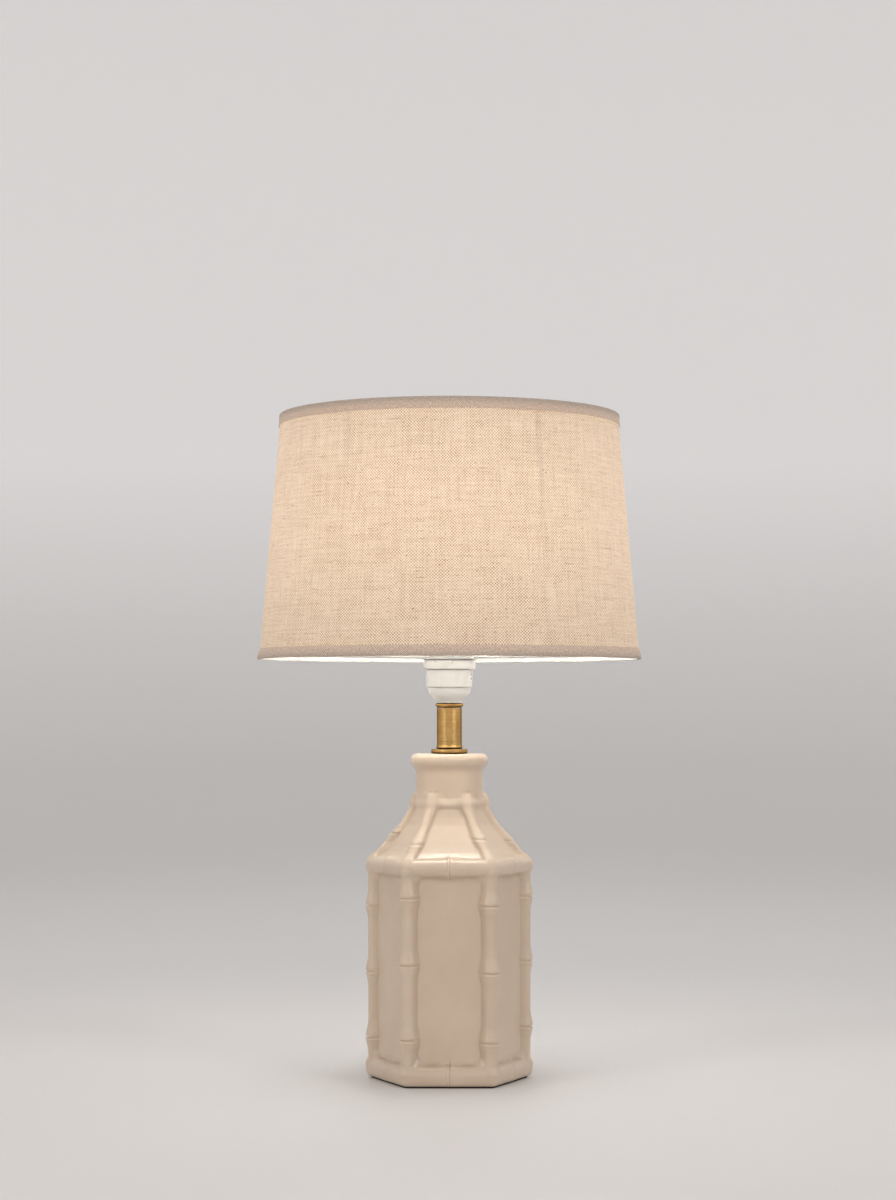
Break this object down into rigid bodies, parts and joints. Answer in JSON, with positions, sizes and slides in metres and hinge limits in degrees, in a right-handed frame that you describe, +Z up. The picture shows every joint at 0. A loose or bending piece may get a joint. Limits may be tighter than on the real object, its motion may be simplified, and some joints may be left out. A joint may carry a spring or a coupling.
{
  "type": "table lamp",
  "caption": "Table lamp with a hexagonal ceramic base in bamboo relief, a brass neck, a screw lampholder and a tapered linen shade.",
  "frame": {"origin": "centre of the felt pad's underside, where the lamp rests; the shade is centred over it", "axes": "+Z up along the lamp's axis, -Y towards the front, which has a flat side of the base, +X to the right"},
  "size_m": [0.3492, 0.3492, 0.6],
  "materials": {
    "glaze": "satin",
    "felt": "matte",
    "antique_brass": "brushed",
    "zinc_steel": "satin",
    "rubber": "matte",
    "white_plastic": "satin",
    "beige_plastic": "matte",
    "porcelain": "satin",
    "white_coated_wire": "satin",
    "linen": "woven",
    "white_lining": "satin",
    "linen_tape": "woven",
    "opal_glass": "satin",
    "black_insulator": "satin",
    "nickel": "polished",
    "circuit_board": "matte"
  },
  "bodies": {
    "base": {"ceramic_body": "glaze", "base_pad": "felt", "cord_bushing": "beige_plastic", "threaded_tube": "zinc_steel", "rubber_washer": "rubber", "steel_washer": "zinc_steel", "lock_washer": "zinc_steel", "tube_nut": "zinc_steel", "neck_flange": "antique_brass", "neck_tube": "antique_brass", "neck_collar": "antique_brass", "holder_cap": "white_plastic", "holder_skirt": "white_plastic", "holder_insert": "porcelain", "terminal_screw_1": "antique_brass", "terminal_screw_2": "antique_brass", "holder_lock_screw": "zinc_steel", "centre_contact": "antique_brass", "side_contact": "antique_brass"},
    "lower_ring": {"shade_ring_lower": "white_plastic"},
    "upper_ring": {"shade_ring_upper": "white_plastic"},
    "shade": {"fitter_ring": "white_coated_wire", "fitter_spoke_1": "white_coated_wire", "fitter_spoke_2": "white_coated_wire", "fitter_spoke_3": "white_coated_wire", "bottom_hoop": "white_coated_wire", "top_hoop": "white_coated_wire", "shade_fabric": "linen", "shade_liner": "white_lining", "trim_top": "linen_tape", "trim_bottom": "linen_tape"},
    "bulb": {"bulb_glass": "opal_glass", "bulb_housing": "white_plastic", "bulb_cap": "nickel", "bulb_insulator": "black_insulator", "bulb_tip": "nickel", "led_board": "circuit_board"}
  },
  "joints": [
    {"name": "shade_turn", "type": "hinge", "parent": "base", "child": "shade", "pos_m": [0, 0, 0.379], "axis": [0, 0, 1], "continuous": true},
    {"name": "ring_lower_turn", "type": "hinge", "parent": "base", "child": "lower_ring", "pos_m": [0, 0, 0.374], "axis": [0, 0, 1], "continuous": true},
    {"name": "ring_upper_turn", "type": "hinge", "parent": "base", "child": "upper_ring", "pos_m": [0, 0, 0.3845], "axis": [0, 0, 1], "continuous": true},
    {"name": "bulb_turn", "type": "hinge", "parent": "base", "child": "bulb", "pos_m": [0, 0, 0.385], "axis": [0, 0, 1], "continuous": true}
  ]
}
